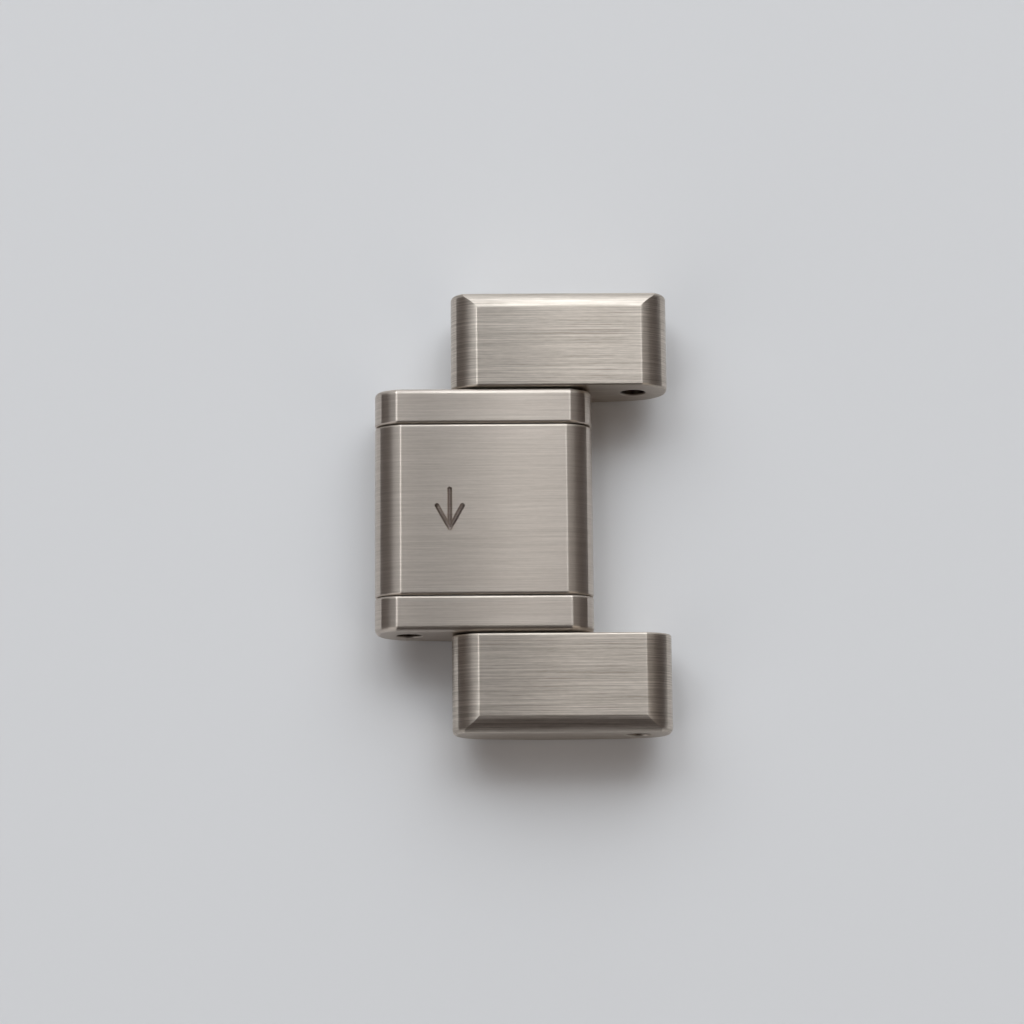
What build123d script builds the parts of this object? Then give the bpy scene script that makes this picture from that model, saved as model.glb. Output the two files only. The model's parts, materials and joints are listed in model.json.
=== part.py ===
import os
from math import radians, tan

from build123d import *

os.makedirs("parts", exist_ok=True)

# One link of a 22 mm steel watch bracelet, in millimetres. Two outer links and a block of
# three strips between them are held by two fixed pins. The block and the outer links are
# staggered, so the block's free bore at one end takes the pin of the link before, and the
# outer links' free bores at the other end take the pin of the link after.
# +X runs along the bracelet towards the free ends of the outer links, +Y is the link's left
# side, and +Z is the face with the arrow, which is flat. The face below it is the bracelet's
# outside, domed along each piece. The origin is the middle of the block's free bore.

# Driving dimensions of the whole link
overall_width = 22.0
link_thickness = 4.0
link_pitch = 11.18
link_gap = 0.42
bore_to_end = 1.68
bore_below_face = 1.70

# Widths of the pieces and the gaps between them
outer_link_width = 4.85
side_link_width = 1.75
outer_gap = 0.10
seam_gap = 0.05

# Free bores that take the connecting pins
bore_diameter = 1.20
bore_mouth_chamfer = 0.06

# Fixed pins, pressed through the block and into blind holes in the outer links
fixed_pin_diameter = 1.20
press_interference = 0.01
fixed_pin_engagement = 2.60
fixed_pin_end_clearance = 0.10
fixed_pin_chamfer = 0.15
fixed_pin_shares = (1 / 3, 2 / 3)

# Ends of the link pieces: a domed bevel blended into the flat, then a rounded nose
end_bevel_angle = 34.5
end_bevel_radius = 2.10
wide_bevel_run = 1.30
side_bevel_run = 1.10
bevel_rounding = 0.30
nose_rounding = 0.95

# Outside of the bracelet: a dome from end to end of each piece, and the round at its ends
outside_dome = 0.85
outside_end_round = 1.80

# Domed bevel along the outside edge of each outer link
long_bevel_width = 0.82
long_bevel_depth = 0.52
long_bevel_dome = 0.115

# Broken edges, softer round the sides that face away from the seams than along the seams
outer_edge_round = 0.28
edge_round = 0.13

# Engraved arrow, which shows the way to push the connecting pin out
arrow_length = 1.97
arrow_barb_reach = 0.62
arrow_barb_rise = 1.14
arrow_stroke = 0.24
arrow_depth = 0.12
arrow_wall_angle = 42.0
arrow_from_bore = 2.03

# Split sleeve that grips the connecting pin, in a seat at the left mouth of the block's bore
collar_length = 1.20
collar_wall = 0.20
collar_slit = 0.15
collar_running_clearance = 0.02
collar_end_clearance = 0.05
collar_edge_chamfer = 0.04

# How far a cutting shape runs past the piece that it cuts
overrun = 1.0

# Values worked out from the ones above
lowest_z = bore_below_face - link_thickness
half_width = overall_width / 2
piece_length = link_pitch - link_gap
block_start = -bore_to_end
outer_start = bore_to_end + link_gap
outer_inner_y = half_width - outer_link_width
block_half_width = outer_inner_y - outer_gap
centre_half_width = block_half_width - side_link_width - seam_gap
bore_radius = bore_diameter / 2
bore_mouth_radius = bore_radius + bore_mouth_chamfer
fixed_pin_radius = fixed_pin_diameter / 2
fixed_pin_hole_radius = fixed_pin_radius - press_interference / 2
fixed_pin_places = [(link_pitch * share, 0) for share in fixed_pin_shares]
outer_bore_place = (link_pitch, 0)
collar_outer_radius = bore_radius + collar_wall
collar_seat_radius = collar_outer_radius + collar_running_clearance
collar_seat_depth = collar_length + 2 * collar_end_clearance


def facing_right(y):
    """The plane across the link at y, seen from the right side, with its normal along -Y."""
    return Plane.XZ.offset(-y)


def facing_left(y):
    """The same plane seen from the left side, with its normal along +Y."""
    return -facing_right(y)


def bar_outline(plane, start, bevel_run):
    """A piece's outline seen along its bores: flat with bevelled ends above, domed below."""
    end = start + piece_length
    shoulder = bore_below_face - bevel_run * tan(radians(end_bevel_angle))
    foot = lowest_z + outside_dome
    with BuildSketch(plane) as outline:
        with BuildLine():
            Line((start, foot), (start, shoulder))
            RadiusArc((start, shoulder), (start + bevel_run, bore_below_face), end_bevel_radius)
            Line((start + bevel_run, bore_below_face), (end - bevel_run, bore_below_face))
            RadiusArc((end - bevel_run, bore_below_face), (end, shoulder), end_bevel_radius)
            Line((end, shoulder), (end, foot))
            ThreePointArc((end, foot), ((start + end) / 2, lowest_z), (start, foot))
        make_face()
        fillet(outline.vertices().group_by(Axis.Y)[0], radius=outside_end_round)
        fillet(outline.vertices().group_by(Axis.Y)[-2], radius=nose_rounding)
        fillet(outline.vertices().group_by(Axis.Y)[-1], radius=bevel_rounding)
    return outline.sketch


def make_outer_link(name, left_side):
    """An outer link: a wide bar with a free bore at one end and two blind pin holes."""
    with BuildPart() as outer_link:
        outline = bar_outline(facing_right(half_width), outer_start, wide_bevel_run)
        extrude(outline, amount=outer_link_width)
        with BuildSketch(Plane.YZ.offset(outer_start - overrun)):
            with BuildLine():
                bevel_top = (half_width - long_bevel_width, bore_below_face)
                bevel_bottom = (half_width, bore_below_face - long_bevel_depth)
                SagittaArc(bevel_top, bevel_bottom, long_bevel_dome)
                Polyline(
                    bevel_bottom,
                    (half_width + overrun, bore_below_face - long_bevel_depth),
                    (half_width + overrun, bore_below_face + overrun),
                    (half_width - long_bevel_width, bore_below_face + overrun),
                    bevel_top,
                )
            make_face()
        extrude(amount=piece_length + 2 * overrun, mode=Mode.SUBTRACT)
        inner_side = outer_link.faces().sort_by(Axis.Y)[0]
        fillet(inner_side.edges(), radius=edge_round)
        outer_side = outer_link.faces().sort_by(Axis.Y)[-1]
        long_bevel = outer_link.faces().sort_by(
            lambda face: abs(face.normal_at().Y * face.normal_at().Z)
        )[-1]
        fillet(outer_side.edges() + long_bevel.edges(), radius=outer_edge_round)
        with Locations(facing_left(half_width)):
            with Locations(outer_bore_place):
                CounterSinkHole(radius=bore_radius, counter_sink_radius=bore_mouth_radius)
        with Locations(facing_right(outer_inner_y)):
            with Locations(outer_bore_place):
                CounterSinkHole(radius=bore_radius, counter_sink_radius=bore_mouth_radius)
            with Locations(*fixed_pin_places):
                Hole(
                    radius=fixed_pin_hole_radius,
                    depth=fixed_pin_engagement + fixed_pin_end_clearance,
                )
        if not left_side:
            mirror(about=Plane.XZ, mode=Mode.REPLACE)
    outer_link.part.label = name
    export_step(outer_link.part, f"parts/{name}.step")


def make_strip(width, left_y, bevel_run, left_edge, right_edge):
    """One strip of the block with its edges broken and its fixed-pin holes, still without a bore."""
    with BuildPart() as strip:
        extrude(bar_outline(facing_right(left_y), block_start, bevel_run), amount=width)
        fillet(strip.faces().sort_by(Axis.Y)[-1].edges(), radius=left_edge)
        fillet(strip.faces().sort_by(Axis.Y)[0].edges(), radius=right_edge)
        with Locations(facing_right(left_y - width)):
            with Locations(*fixed_pin_places):
                Hole(radius=fixed_pin_hole_radius)
    return strip.part


# Outer links, mirror images of each other
make_outer_link("outer_link_left", left_side=True)
make_outer_link("outer_link_right", left_side=False)

# Left strip of the block, with the collar's seat at the mouth of its bore
with BuildPart() as side_link_left:
    add(make_strip(side_link_width, block_half_width, side_bevel_run, outer_edge_round, edge_round))
    with Locations(facing_left(block_half_width)):
        CounterBoreHole(
            radius=bore_radius,
            counter_bore_radius=collar_seat_radius,
            counter_bore_depth=collar_seat_depth,
        )
side_link_left.part.label = "side_link_left"
export_step(side_link_left.part, "parts/side_link_left.step")

# Right strip of the block, where the arrow sends the connecting pin out
with BuildPart() as side_link_right:
    right_strip_left_y = side_link_width - block_half_width
    add(make_strip(side_link_width, right_strip_left_y, side_bevel_run, edge_round, outer_edge_round))
    with Locations(facing_right(-block_half_width)):
        CounterSinkHole(radius=bore_radius, counter_sink_radius=bore_mouth_radius)
side_link_right.part.label = "side_link_right"
export_step(side_link_right.part, "parts/side_link_right.step")

# Wide middle strip of the block, with the arrow engraved in its top face
with BuildPart() as centre_link:
    add(make_strip(2 * centre_half_width, centre_half_width, wide_bevel_run, edge_round, edge_round))
    with Locations(facing_right(-centre_half_width)):
        Hole(radius=bore_radius)
    with BuildSketch(Plane.XY.offset(bore_below_face)):
        tip = Vector(arrow_from_bore, -arrow_length / 2)
        for tail in (
            tip + Vector(0, arrow_length),
            tip + Vector(arrow_barb_reach, arrow_barb_rise),
            tip + Vector(-arrow_barb_reach, arrow_barb_rise),
        ):
            SlotCenterPoint(center=(tip + tail) / 2, point=tip, height=arrow_stroke)
    extrude(amount=-arrow_depth, taper=arrow_wall_angle, mode=Mode.SUBTRACT)
centre_link.part.label = "centre_link"
export_step(centre_link.part, "parts/centre_link.step")

# Fixed pins, which stop short of the floors of the outer links' blind holes
for name, place in zip(("fixed_pin_front", "fixed_pin_rear"), fixed_pin_places):
    with BuildPart() as fixed_pin:
        with BuildSketch(facing_right(outer_inner_y + fixed_pin_engagement)):
            with Locations(place):
                Circle(radius=fixed_pin_radius)
        extrude(amount=2 * (outer_inner_y + fixed_pin_engagement))
        chamfer(fixed_pin.edges().filter_by(GeomType.CIRCLE), length=fixed_pin_chamfer)
    fixed_pin.part.label = name
    export_step(fixed_pin.part, f"parts/{name}.step")

# Friction collar, slit along the side that faces the block's end
with BuildPart() as friction_collar:
    with BuildSketch(facing_right(block_half_width - collar_end_clearance)):
        Circle(radius=collar_outer_radius)
        Circle(radius=bore_radius, mode=Mode.SUBTRACT)
    extrude(amount=collar_length)
    chamfer(
        friction_collar.edges().filter_by(GeomType.CIRCLE).filter_by(
            lambda edge: edge.radius > bore_radius + collar_wall / 2
        ),
        length=collar_edge_chamfer,
    )
    with BuildSketch(facing_right(block_half_width)):
        with Locations((-collar_outer_radius, 0)):
            Rectangle(2 * collar_outer_radius, collar_slit)
    extrude(amount=collar_seat_depth, mode=Mode.SUBTRACT)
friction_collar.part.label = "friction_collar"
export_step(friction_collar.part, "parts/friction_collar.step")
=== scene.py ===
import json
from math import cos, pi, radians, sin

import bpy
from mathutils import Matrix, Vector

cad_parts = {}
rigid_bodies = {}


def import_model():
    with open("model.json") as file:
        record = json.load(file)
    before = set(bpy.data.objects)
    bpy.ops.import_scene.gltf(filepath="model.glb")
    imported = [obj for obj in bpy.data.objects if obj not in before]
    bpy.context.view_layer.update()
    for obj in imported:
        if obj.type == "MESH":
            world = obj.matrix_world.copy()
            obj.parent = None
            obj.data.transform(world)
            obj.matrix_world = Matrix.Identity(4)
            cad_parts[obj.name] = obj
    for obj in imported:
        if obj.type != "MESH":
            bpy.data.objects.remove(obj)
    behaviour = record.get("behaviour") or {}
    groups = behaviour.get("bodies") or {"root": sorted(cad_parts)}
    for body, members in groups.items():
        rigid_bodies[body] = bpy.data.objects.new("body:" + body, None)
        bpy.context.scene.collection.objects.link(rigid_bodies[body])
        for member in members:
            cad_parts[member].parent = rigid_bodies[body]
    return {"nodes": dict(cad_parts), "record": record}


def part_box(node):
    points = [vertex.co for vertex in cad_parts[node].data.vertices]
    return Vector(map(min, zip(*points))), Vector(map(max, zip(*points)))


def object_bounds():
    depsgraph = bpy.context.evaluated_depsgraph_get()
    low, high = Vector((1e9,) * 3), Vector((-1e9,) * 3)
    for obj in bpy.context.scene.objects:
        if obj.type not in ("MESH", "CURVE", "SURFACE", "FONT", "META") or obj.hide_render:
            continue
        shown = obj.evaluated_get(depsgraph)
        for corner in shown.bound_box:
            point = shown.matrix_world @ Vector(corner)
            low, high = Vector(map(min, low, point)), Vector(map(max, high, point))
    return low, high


# Looks of a brushed steel bracelet link. Lengths are in metres, in the frame of the CAD model:
# +X along the bracelet, +Y across it to the link's left, +Z out of the face with the arrow.
MM = 0.001

for leftover in list(bpy.data.objects):
    bpy.data.objects.remove(leftover, do_unlink=True)

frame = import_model()
cad_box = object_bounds()
ground = cad_box[0].z


def linear(hex_colour):
    """An sRGB colour such as "#c9c4bb" as the linear values that Blender's sockets take."""
    channels = [int(hex_colour[i:i + 2], 16) / 255 for i in (1, 3, 5)]
    return [c / 12.92 if c <= 0.04045 else ((c + 0.055) / 1.055) ** 2.4 for c in channels] + [1.0]


# Sockets of a Mix node, which go by number because its names repeat for each type of value
FACTOR = 0
NUMBER_A, NUMBER_B, MIXED_NUMBER = 2, 3, 0
COLOUR_A, COLOUR_B, MIXED_COLOUR = 6, 7, 2


def add(tree, kind, inputs=None, **settings):
    """A new node with its settings. Each of its inputs takes a value or another node's output."""
    node = tree.nodes.new(kind)
    for name, value in settings.items():
        setattr(node, name, value)
    for name, value in (inputs or {}).items():
        if isinstance(value, bpy.types.NodeSocket):
            tree.links.new(value, node.inputs[name])
        else:
            node.inputs[name].default_value = value
    return node


def new_material(name):
    """An empty material and its node tree."""
    material = bpy.data.materials.new(name)
    material.use_nodes = True
    material.node_tree.nodes.clear()
    return material, material.node_tree


# Brushed stainless steel. The belt runs along the bracelet, so every groove lies along X, over the
# rounded ends too, and a highlight is drawn out across the grooves. Real belt grooves are 0.01 to
# 0.03 mm wide, less than a pixel here, so they are drawn coarser. The belt also leaves each flat a
# tenth of a millimetre high in its middle, which lets the light drift along it.
CROWN_RADIUS = 90 * MM

# Fine detail of the grooves, and how much each finer layer counts
GROOVE_DETAIL = 2.0
GROOVE_ROUGHNESS = 0.7

# Short scratches that break up the grooves: their length as a share of a groove's, and their share
# of the height
BREAK_LENGTH = 0.1
BREAK_SHARE = 0.25

# Groove heights between which the colour goes from the dark colour at the groove bottoms, partly
# grime and partly painted dark streaks of sheen, to the steel's own colour
DARK_STREAK_HEIGHT = 0.34
BRIGHT_STREAK_HEIGHT = 0.66

# Y part of the normal between which the grooves change from those of a top face to a side face
TOP_TILT = 0.65
SIDE_TILT = 0.8

# Direction of the grooves. The direction across them vanishes on a face square to X, so it leans
# a little towards Y.
ALONG = (1, 0, 0)
LEAN = (0, 0.02, 0)

# Distance from the middle of a hollow, as a share of its half axes, within which the painted shade
# is full
FULL_SHADE = 0.9


def grooves(tree, place, on_side, width, length):
    """A height from 0 to 1 that changes over width across the belt and over length along it."""
    top_scale = (1 / length, 1 / width, 1 / length)
    side_scale = (1 / length, 1 / length, 1 / width)
    sheets = []
    for scale in (top_scale, side_scale):
        scaled = add(tree, "ShaderNodeMapping", {"Vector": place, "Scale": scale})
        noise = add(tree, "ShaderNodeTexNoise", {
            "Vector": scaled.outputs["Vector"],
            "Scale": 1.0,
            "Detail": GROOVE_DETAIL,
            "Roughness": GROOVE_ROUGHNESS,
        })
        sheets.append(noise.outputs["Fac"])
    mixed = add(tree, "ShaderNodeMix", {FACTOR: on_side, NUMBER_A: sheets[0], NUMBER_B: sheets[1]})
    return mixed.outputs[MIXED_NUMBER]


def crowned(tree, place, middle):
    """The normal of a flat that the belt left highest at X = middle."""
    along = add(tree, "ShaderNodeMath", {
        0: add(tree, "ShaderNodeSeparateXYZ", {"Vector": place}).outputs["X"],
        1: middle,
    }, operation="SUBTRACT").outputs["Value"]
    square = add(tree, "ShaderNodeMath", {0: along, 1: along}, operation="MULTIPLY")
    return add(tree, "ShaderNodeBump", {
        "Height": square.outputs["Value"],
        "Distance": 1 / (2 * CROWN_RADIUS),
    }, invert=True).outputs["Normal"]


def brushed_steel(name, colour, grime_and_dark_streak_colour, groove_size, roughness, anisotropy, middle=None):
    """Steel with grooves along X, darker at their bottom in grime_and_dark_streak_colour, for
    grime and painted dark streaks of sheen. Gives its shader.

    groove_size is the grooves' width, length and depth. Faces are crowned about X = middle.
    """
    tree = new_material(name)[1]
    width, length, depth = groove_size
    place = add(tree, "ShaderNodeTexCoord").outputs["Object"]
    normal = add(tree, "ShaderNodeNewGeometry").outputs["Normal"]
    sideways = add(tree, "ShaderNodeSeparateXYZ", {"Vector": normal}).outputs["Y"]
    on_side = add(tree, "ShaderNodeMapRange", {
        "Value": add(tree, "ShaderNodeMath", {0: sideways}, operation="ABSOLUTE").outputs["Value"],
        "From Min": TOP_TILT,
        "From Max": SIDE_TILT,
    }).outputs["Result"]
    belt = grooves(tree, place, on_side, width, length)
    breaks = grooves(tree, place, on_side, width, length * BREAK_LENGTH)
    height = add(tree, "ShaderNodeMix", {
        FACTOR: BREAK_SHARE,
        NUMBER_A: belt,
        NUMBER_B: breaks,
    }).outputs[MIXED_NUMBER]
    face = normal if middle is None else crowned(tree, place, middle)
    bump = add(tree, "ShaderNodeBump", {"Height": height, "Distance": depth, "Normal": face})
    across = add(tree, "ShaderNodeVectorMath", {0: normal, 1: ALONG},
                 operation="CROSS_PRODUCT").outputs["Vector"]
    leaning = add(tree, "ShaderNodeVectorMath", {0: across, 1: LEAN})
    # Painted sheen streaks: the colour darkens towards the groove bottoms, partly for grime there
    # and partly in place of the brushing's reflection streaks
    streak_sheen = add(tree, "ShaderNodeMapRange", {
        "Value": height,
        "From Min": DARK_STREAK_HEIGHT,
        "From Max": BRIGHT_STREAK_HEIGHT,
    }).outputs["Result"]
    tint = add(tree, "ShaderNodeMix", {
        FACTOR: streak_sheen,
        COLOUR_A: linear(grime_and_dark_streak_colour),
        COLOUR_B: linear(colour),
    }, data_type="RGBA")
    steel = add(tree, "ShaderNodeBsdfPrincipled", {
        "Base Color": tint.outputs[MIXED_COLOUR],
        "Metallic": 1.0,
        "Roughness": roughness,
        "Normal": bump.outputs["Normal"],
        "Anisotropic": anisotropy,
        "Tangent": leaning.outputs["Vector"],
    })
    add(tree, "ShaderNodeOutputMaterial", {"Surface": steel.outputs["BSDF"]})
    return steel


def paint_shade_in_hollow(steel, middle, half_axes, colour):
    """Painted shade in a hollow: tints steel with colour inside an ellipsoid, which fades at its
    rim.
    """
    tree = steel.id_data
    place = add(tree, "ShaderNodeTexCoord").outputs["Object"]
    scaled = add(tree, "ShaderNodeMapping", {
        "Vector": place,
        "Location": middle,
        "Scale": half_axes,
    }, vector_type="TEXTURE")
    from_middle = add(tree, "ShaderNodeVectorMath", {0: scaled.outputs["Vector"]},
                      operation="LENGTH")
    share = add(tree, "ShaderNodeMapRange", {
        "Value": from_middle.outputs["Value"],
        "From Min": 1.0,
        "From Max": FULL_SHADE,
    })
    unshaded_colour = steel.inputs["Base Color"].links[0].from_socket
    shaded_colour = add(tree, "ShaderNodeMix", {
        FACTOR: share.outputs["Result"],
        COLOUR_A: unshaded_colour,
        COLOUR_B: linear(colour),
    }, data_type="RGBA", blend_type="MULTIPLY")
    tree.links.new(shaded_colour.outputs[MIXED_COLOUR], steel.inputs["Base Color"])


# Width, length and depth of the grooves
COARSE_GROOVES = (0.05 * MM, 6.0 * MM, 0.0030 * MM)
FINE_GROOVES = (0.06 * MM, 4.0 * MM, 0.0012 * MM)
DRAWN_GROOVES = (0.20 * MM, 12.0 * MM, 0.001 * MM)

# Roughness and anisotropy. Belted steel blurs reflections far more across the grooves than along
# them, and drawn and rolled steel about evenly.
BELTED = (0.30, 0.95)
DRAWN = (0.2, 0.3)
ROLLED = (0.25, 0.3)

# Engraved arrow: how far it is from the block's bore, and its depth
ARROW_FROM_BORE = 2.03 * MM
ARROW_DEPTH = 0.12 * MM

# Painted shade in the bores and in the arrow's strokes: half axes of the space that it fills, and
# its colour
BORE_AXES = (0.68 * MM, 30 * MM, 0.68 * MM)
ARROW_AXES = (2.5 * MM, 2.5 * MM, 0.11 * MM)
BORE_SHADE_COLOUR = "#5a5048"
ARROW_SHADE_COLOUR = "#d0ced0"


def middle_along(node):
    """The middle of a node's box along the bracelet."""
    low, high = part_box(node)
    return (low.x + high.x) / 2


# Places from the frame: the middles of the outer links and the block, the bores, and the arrow
outer_middle = middle_along("outer_link_left")
block_middle = middle_along("centre_link")
mounts = {mount["name"]: Vector(mount["pos_m"]) for mount in frame["record"]["mounts"]}
block_bore = mounts["centre_bore"]
outer_bore = mounts["outer_bore"]
arrow_floor = mounts["arrow_face"].z - ARROW_DEPTH
arrow = (block_bore.x + ARROW_FROM_BORE, block_bore.y, arrow_floor)

# Straight bright and dark streaks that show at arm's length, partly painted into the colour as
# sheen, and painted shade that makes the drilled bores look black
outer_steel = brushed_steel("stainless_steel_coarse_belt", "#dad0c5", "#a0968b", COARSE_GROOVES,
                            *BELTED, outer_middle)
paint_shade_in_hollow(outer_steel, outer_bore, BORE_AXES, BORE_SHADE_COLOUR)

# Fainter streaks of the same kind, which give the block a silkier face
side_steel = brushed_steel("stainless_steel_fine_belt", "#cdc3b9", "#b8aea4", FINE_GROOVES,
                           *BELTED, block_middle)
# Painted shade inside the bores
paint_shade_in_hollow(side_steel, block_bore, BORE_AXES, BORE_SHADE_COLOUR)

# The block's silky face again, with painted shade in its bores and a grey film of painted shade on
# the arrow's strokes that makes them read dark
centre_steel = brushed_steel("stainless_steel_fine_belt_painted_shade", "#cdc3b9", "#b8aea4",
                             FINE_GROOVES, *BELTED, block_middle)
paint_shade_in_hollow(centre_steel, block_bore, BORE_AXES, BORE_SHADE_COLOUR)
paint_shade_in_hollow(centre_steel, arrow, ARROW_AXES, ARROW_SHADE_COLOUR)

# Smoother, brighter steel with hardly any streaks, for the hidden pins and, duller, for the collar
brushed_steel("stainless_steel_drawn", "#cfcac4", "#cbc6c0", DRAWN_GROOVES, *DRAWN)
brushed_steel("spring_steel_rolled", "#cbc6c0", "#c7c2bc", DRAWN_GROOVES, *ROLLED)

MATERIALS = {
    "outer_link_steel": "stainless_steel_coarse_belt",
    "side_link_steel": "stainless_steel_fine_belt",
    "centre_link_steel": "stainless_steel_fine_belt_painted_shade",
    "pin_steel": "stainless_steel_drawn",
    "collar_steel": "spring_steel_rolled",
}
for part in frame["record"]["subparts"]:
    for material_slot in frame["nodes"][part["node"]].material_slots:
        material_slot.material = bpy.data.materials[MATERIALS[part["material_slot"]]]


# Floor: a sheet of pale matt paper, which keeps the link's soft shadow
FLOOR_SIZE = 3.0
PAPER_ROUGHNESS = 0.9
material, tree = new_material("matt_paper")
paper = add(tree, "ShaderNodeBsdfPrincipled", {
    "Base Color": linear("#e3e3e4"),
    "Roughness": PAPER_ROUGHNESS,
})
add(tree, "ShaderNodeOutputMaterial", {"Surface": paper.outputs["BSDF"]})
bpy.ops.mesh.primitive_plane_add(size=FLOOR_SIZE, location=(0, 0, ground))
floor = bpy.context.object
floor.name = "paper_floor"
floor.data.materials.append(material)


# Light: a window to the north in four panes, paler stretches of wall and ceiling, and a dim room.
# The walls and the ceiling are this far from the link.
ROOM = 1.5


def lamp(name, place, width, height, radiance, colour, faces_down=False):
    """A rectangular lamp that shines on the link, or straight down. Radiance 1 is white."""
    data = bpy.data.lights.new(name, "AREA")
    data.shape = "RECTANGLE"
    data.size = width
    data.size_y = height
    data.energy = radiance * pi * width * height
    data.color = linear(colour)[:3]
    lamp_object = bpy.data.objects.new(name, data)
    lamp_object.location = place
    if not faces_down:
        lamp_object.rotation_mode = "QUATERNION"
        lamp_object.rotation_quaternion = place.to_track_quat("Z", "Y")
    bpy.context.scene.collection.objects.link(lamp_object)


# Colours of the light: an overcast sky, white walls, and a wall that a warm floor lights
SKY = "#f4faff"
WHITE = "#ffffff"
WARM = "#fff5e8"

# Azimuth and elevation in degrees, from +Y towards +X, then width, height, radiance and colour
WALL_LAMPS = {
    "wall_north_west": (-50, 40, 0.52, 1.09, 1.6, SKY),
    "window_far_left": (-30, 40, 0.52, 1.09, 2.6, SKY),
    "window_left": (-10, 40, 0.52, 1.09, 1.85, SKY),
    "window_right": (10, 40, 0.52, 1.09, 2.55, SKY),
    "window_far_right": (30, 40, 0.52, 1.09, 2.6, SKY),
    "wall_north_east": (50, 40, 0.52, 1.09, 0.9, SKY),
    "wall_low_north_west": (-40, 10, 1.09, 0.53, 0.44, WHITE),
    "wall_below_window": (0, 10, 1.09, 0.53, 1.25, SKY),
    "wall_low_north_east": (40, 10, 1.09, 0.53, 0.53, WHITE),
    "wall_south_east": (125, 40, 0.75, 1.09, 0.83, WARM),
    "wall_south_west": (235, 40, 0.75, 1.09, 0.93, WHITE),
    "wall_low_south_west": (225, 10, 1.2, 0.53, 0.6, WHITE),
    "wall_east": (90, 18, 0.42, 0.53, 0.11, WHITE),
    "wall_west": (270, 18, 0.42, 0.53, 0.11, WHITE),
}
for name, (azimuth, elevation, width, height, radiance, colour) in WALL_LAMPS.items():
    a, e = radians(azimuth), radians(elevation)
    direction = Vector((sin(a) * cos(e), cos(a) * cos(e), sin(e)))
    lamp(name, direction * ROOM, width, height, radiance, colour)

# Places along X and Y, then width, depth, radiance and colour
CEILING_LAMPS = {
    "ceiling_north_west": (-0.405, 0.565, 0.28, 0.60, 1.85, WHITE),
    "ceiling_north": (0.105, 0.565, 0.106, 0.60, 1.5, WHITE),
    "ceiling_north_right": (0.211, 0.565, 0.106, 0.60, 0.52, WHITE),
    "ceiling_north_east": (0.405, 0.565, 0.28, 0.60, 1.25, WHITE),
    "ceiling_west": (-0.405, 0, 0.28, 0.53, 1.45, WHITE),
    "ceiling_middle": (0, 0, 0.105, 0.53, 0.25, WARM),
}
for name, (x, y, width, depth, radiance, colour) in CEILING_LAMPS.items():
    lamp(name, Vector((x, y, ROOM)), width, depth, radiance, colour, faces_down=True)

# The rest of the room, dark enough to show as the dark bands on the rounded ends
world = bpy.data.worlds.new("dim_room")
bpy.context.scene.world = world
world.use_nodes = True
background = world.node_tree.nodes["Background"]
background.inputs["Color"].default_value = linear("#342824")
background.inputs["Strength"].default_value = 1.0


# Camera: a 98 mm lens, 137 mm above the link and 25 mm towards its right side. The photo's width
# and focal length are in pixels.
SENSOR = 36.0
PHOTO_WIDTH = 1024
PHOTO_FOCAL = 2800
CAMERA_PLACE = (3.60 * MM, -25.39 * MM, 136.52 * MM)
CAMERA_TURN = (radians(10.59), radians(-0.54), radians(-0.47))
camera_data = bpy.data.cameras.new("camera")
camera_data.sensor_width = SENSOR
camera_data.lens = SENSOR * PHOTO_FOCAL / PHOTO_WIDTH
camera_data.clip_start = 10 * MM
camera_data.clip_end = 10.0
camera = bpy.data.objects.new("camera", camera_data)
camera.location = CAMERA_PLACE
camera.rotation_euler = CAMERA_TURN
bpy.context.scene.collection.objects.link(camera)
bpy.context.scene.camera = camera
bpy.context.scene.view_settings.view_transform = "Standard"
